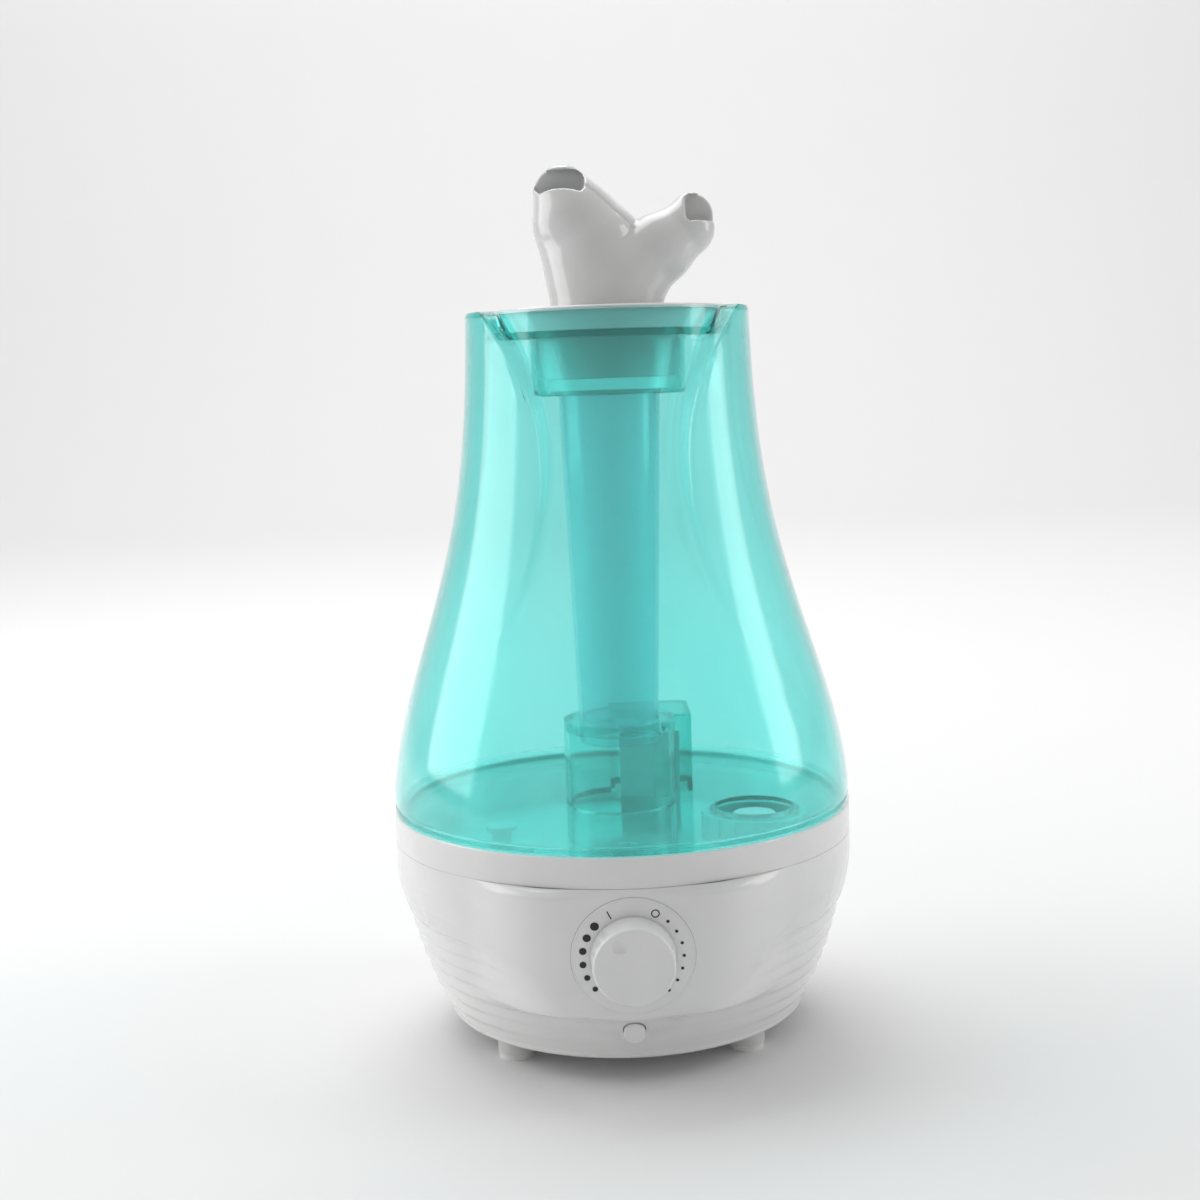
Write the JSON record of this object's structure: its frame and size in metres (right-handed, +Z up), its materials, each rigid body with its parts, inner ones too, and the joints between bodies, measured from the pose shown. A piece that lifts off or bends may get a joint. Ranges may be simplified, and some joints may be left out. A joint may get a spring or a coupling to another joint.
{
  "type": "cool mist humidifier",
  "caption": "Cool mist humidifier: translucent pear-shaped water tank with a two-horned mist nozzle, on a round white base with a control knob and a button.",
  "frame": {"origin": "on the surface the feet stand on, under the tank's axis", "axes": "+Z up along the tank's axis, -Y to the front with the control knob, +X to the right seen from the front"},
  "size_m": [0.1904, 0.201, 0.3567],
  "materials": {
    "white_gloss": "glossy white ABS",
    "white_plastic": "fine matt white",
    "teal_clear": "translucent teal plastic, satin inside, polished outside",
    "blue_clear": "translucent bluish plastic",
    "white_rubber": "soft white rubber",
    "grey_rubber": "grey silicone rubber",
    "dark_plastic": "black moulding",
    "steel": "zinc-plated steel",
    "aluminium": "milled aluminium",
    "brass": "bright",
    "copper": "enamelled copper winding",
    "capacitor_sleeve": "printed sleeve, plain",
    "circuit_board": "solder mask",
    "ceramic": "silvered piezo ceramic",
    "float_foam": "sealed hollow float",
    "magnet": "sintered ferrite"
  },
  "bodies": {
    "base": {"foot_pads": "white_rubber", "bottom_cover": "white_plastic", "cover_screws": "steel", "base_housing": "white_gloss", "water_basin": "white_gloss", "dial_plate": "white_gloss", "control_pot": "dark_plastic", "pot_washer": "steel", "pot_nut": "steel", "control_board": "circuit_board", "button_switch": "dark_plastic", "transducer_disc": "ceramic", "transducer_seal": "grey_rubber", "transducer_clamp": "aluminium", "transducer_screws": "steel", "driver_board": "circuit_board", "heat_sink": "aluminium", "power_transistor": "dark_plastic", "driver_coil": "copper", "driver_capacitors": "capacitor_sleeve", "fan_frame": "dark_plastic", "fan_bearing": "brass", "fan_screws": "steel", "air_duct": "white_plastic", "float_retainer": "white_plastic", "reed_switch": "circuit_board", "dc_inlet": "dark_plastic", "inlet_pin": "brass", "inlet_nut": "steel"},
    "knob": {"control_knob": "white_gloss", "pot_shaft": "steel"},
    "button": {"push_button": "white_gloss"},
    "fan": {"fan_rotor": "dark_plastic", "fan_shaft": "steel"},
    "float": {"level_float": "float_foam", "float_magnet": "magnet"},
    "tank": {"tank_shell": "teal_clear", "tank_floor": "teal_clear", "mist_tube": "blue_clear"},
    "filler": {"fill_cap": "white_plastic", "cap_gasket": "grey_rubber", "valve_spring": "steel"},
    "valve": {"valve_plunger": "white_plastic", "valve_seal": "grey_rubber"},
    "lid": {"top_lid": "white_gloss"},
    "nozzle": {"mist_nozzle": "white_gloss"}
  },
  "joints": [
    {"name": "knob_turn", "type": "hinge", "parent": "base", "child": "knob", "pos_m": [0, -0.09371, 0.0573], "axis": [0, -0.9962, -0.0872], "range_deg": [0, 296]},
    {"name": "button_press", "type": "slide", "parent": "base", "child": "button", "axis": [0, 0.9962, 0.0872], "range_m": [0, 0.0015], "stiffness_N_per_m": 600, "springref_m": -0.001},
    {"name": "fan_spin", "type": "hinge", "parent": "base", "child": "fan", "pos_m": [0.008, 0.0385, 0.0235], "axis": [0, 0, 1], "continuous": true},
    {"name": "float_rise", "type": "slide", "parent": "base", "child": "float", "axis": [0, 0, 1], "range_m": [0, 0.006]},
    {"name": "tank_lift", "type": "slide", "parent": "base", "child": "tank", "axis": [0, 0, 1], "range_m": [0, 0.1]},
    {"name": "filler_turn", "type": "hinge", "parent": "tank", "child": "filler", "pos_m": [0.0541, -0.018, 0.085], "axis": [0, 0, -1], "range_deg": [0, 90]},
    {"name": "valve_drop", "type": "slide", "parent": "filler", "child": "valve", "axis": [0, 0, 1], "range_m": [-0.0028, 0], "deforming": ["valve_spring"]},
    {"name": "lid_lift", "type": "slide", "parent": "tank", "child": "lid", "axis": [0, 0, 1], "range_m": [0, 0.06]},
    {"name": "nozzle_turn", "type": "hinge", "parent": "lid", "child": "nozzle", "pos_m": [0, 0, 0.3], "axis": [0, 0, 1], "continuous": true}
  ],
  "couplings": [
    {"joint": "valve_drop", "follows": "tank_lift", "ratio": -0.028}
  ]
}
